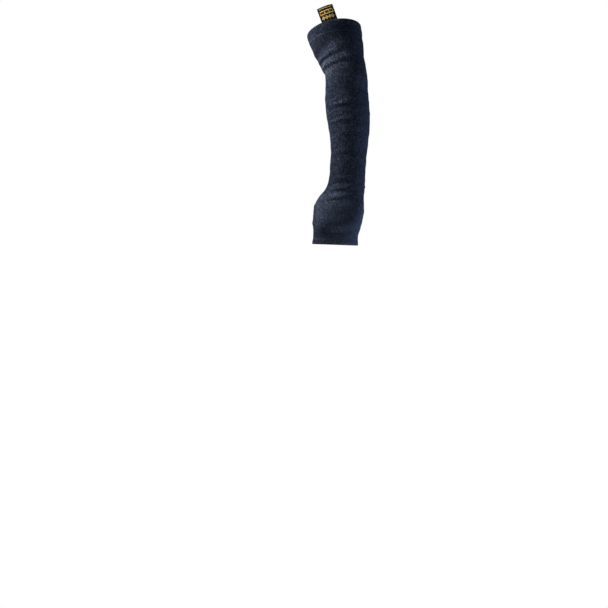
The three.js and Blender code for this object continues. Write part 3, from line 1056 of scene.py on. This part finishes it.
def makeWraps():
    angle = (np.arange(wrapStitch["count"]) + 0.5) * 2 * math.pi / wrapStitch["count"]
    centre, tangent, outward, inward = beadLine(angle)
    outs = unit(outward * wrapStitch["outward"] - inward * wrapStitch["aside"])
    runs = unit(np.cross(tangent, outs) + wrapStitch["slant"] * tangent)
    points = centre + outs * thumbBead["radius"] * wrapStitch["depth"]
    return layStitches("thumbWraps", points, runs, outs, bindingThread, wrapStitch)


thumbWraps = makeWraps()

tackStitch = {  # one row through the hem catches the label down
    "count": 8,
    "halfRow": 13.5,
    "belowEdge": 4.0,
    "height": 0.62,
    "length": 3.0,
    "thread": 0.3,
    "arch": 0.6,
    "dip": 0.3,
    "wobble": 0.07,
    "seed": 27,
}


def makeTacks():
    across = np.linspace(-1, 1, tackStitch["count"]) * tackStitch["halfRow"]
    rise = across * math.sin(math.radians(labelRibbon["tilt"]))
    along = sleeveLength - tackStitch["belowEdge"] + rise
    places = (along, labelRibbon["turn"] + np.degrees(across / edgeHalfWidth))
    points = clothPoint(*places, fineRelief(*places) + tackStitch["height"])
    runs = unit(wayRound(*places))
    return layStitches("labelTacks", points, runs, faceNormal(*places), seamThread, tackStitch)


labelTacks = makeTacks()
print("sleeve: stitches laid")


# What each piece stands for

for piece, node in (
    (sleeveKnit, "sleeve_body"),
    (handHem, "hand_hem"),
    (armHem, "arm_hem"),
    (thumbBinding, "thumb_binding"),
    (labelPiece, "label"),
):
    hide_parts(node)
for slotName, pieces in (
    ("knit", (sleeveKnit, handHem, armHem)),
    ("label", (labelPiece,)),
    ("binding", (thumbBinding, handStitches, armStitches, seamStitches, thumbWraps, labelTacks)),
):
    for piece in pieces:
        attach(piece, "root")


# Studio, in metres

studio = {
    "floorHeight": -1.6,
    "floorReach": 1.9,
    "floorColour": (0.92, 0.87, 0.85, 1),  # a little warm, under a cool key light
    "floorRoughness": 0.9,
    "floorGlow": 0.55,  # a light table, so that the floor reads white
    "room": (0.7, 0.85, 1.0, 1),
    "roomStrength": 0.105,
    "backdrop": (1, 1, 1, 1),
    "backdropStrength": 1.0,
}
studioLights = {
    "keyLight": {"place": (-2.17, -0.25, 2.6), "power": 264.0, "size": 1.2, "colour": (0.93, 0.99, 1.03)},
    "edgeLight": {"place": (0.6, 0.0, -0.65), "power": 8.4, "size": 0.4, "colour": (0.54, 0.7, 1.0)},
}


def makeFloor():
    reach, z = studio["floorReach"], studio["floorHeight"]
    corners = [(-reach, -reach, z), (reach, -reach, z), (reach, reach, z), (-reach, reach, z)]
    mesh = bpy.data.meshes.new("paleFloor")
    mesh.from_pydata(corners, [], [(0, 1, 2, 3)])
    material, tree, shader = newMaterial("paleFloor")
    setInputs(tree, shader, {
        "Base Color": studio["floorColour"],
        "Roughness": studio["floorRoughness"],
        "Emission Color": studio["floorColour"],
        "Emission Strength": studio["floorGlow"],
    })
    mesh.materials.append(material)
    floor = bpy.data.objects.new("paleFloor", mesh)
    scene.collection.objects.link(floor)


def makeRoom():  # the room lights the sleeve, and the camera sees a white backdrop
    world = bpy.data.worlds.new("softRoom")
    world.use_nodes = True
    scene.world = world
    tree = world.node_tree
    tree.nodes.clear()
    rays = addNode(tree, "ShaderNodeLightPath")
    room = addNode(tree, "ShaderNodeBackground", {
        "Color": studio["room"], "Strength": studio["roomStrength"],
    })
    backdrop = addNode(tree, "ShaderNodeBackground", {
        "Color": studio["backdrop"], "Strength": studio["backdropStrength"],
    })
    both = addNode(tree, "ShaderNodeMixShader", {
        0: rays.outputs["Is Camera Ray"], 1: room.outputs[0], 2: backdrop.outputs[0],
    })
    addNode(tree, "ShaderNodeOutputWorld", {0: both.outputs[0]})


def makeLights():
    for name, lamp in studioLights.items():
        light = bpy.data.lights.new(name, "AREA")
        light.energy = lamp["power"]
        light.size = lamp["size"]
        light.color = lamp["colour"]
        stand = bpy.data.objects.new(name, light)
        stand.location = lamp["place"]
        aim = -Vector(lamp["place"])
        stand.rotation_euler = aim.to_track_quat("-Z", "Y").to_euler()
        scene.collection.objects.link(stand)


makeFloor()
makeRoom()
makeLights()

photoView = {
    "frame": 608,  # pixels
    "originX": 348.3,  # where the part's origin is in the frame
    "originY": 122.0,
    "mmPerPixel": 2.05,
    "distance": 6.0,
    "sensor": 36,
    "clipEnd": 200,
}


def makeCamera():
    view = photoView
    right = view["originX"] - view["frame"] / 2
    above = view["frame"] / 2 - view["originY"]
    straightFocal = view["distance"] / (view["mmPerPixel"] * mm)
    focal = straightFocal
    for _ in range(4):  # pixels spread a little away from the middle of a flat picture
        off = math.atan(math.hypot(right, above) / focal)
        focal = straightFocal * math.cos(off) ** 1.5
    lens = bpy.data.cameras.new("photoCamera")
    lens.sensor_width = view["sensor"]
    lens.lens = focal * view["sensor"] / view["frame"]
    lens.clip_end = view["clipEnd"]
    camera = bpy.data.objects.new("photoCamera", lens)
    camera.location = (0, -view["distance"], 0)
    pitch = math.atan2(above, math.hypot(focal, right))
    camera.rotation_euler = (math.pi / 2 - pitch, 0, math.atan2(right, focal))
    scene.collection.objects.link(camera)
    scene.camera = camera


makeCamera()
scene.view_settings.view_transform = "Standard"
print("sleeve: studio and camera set")
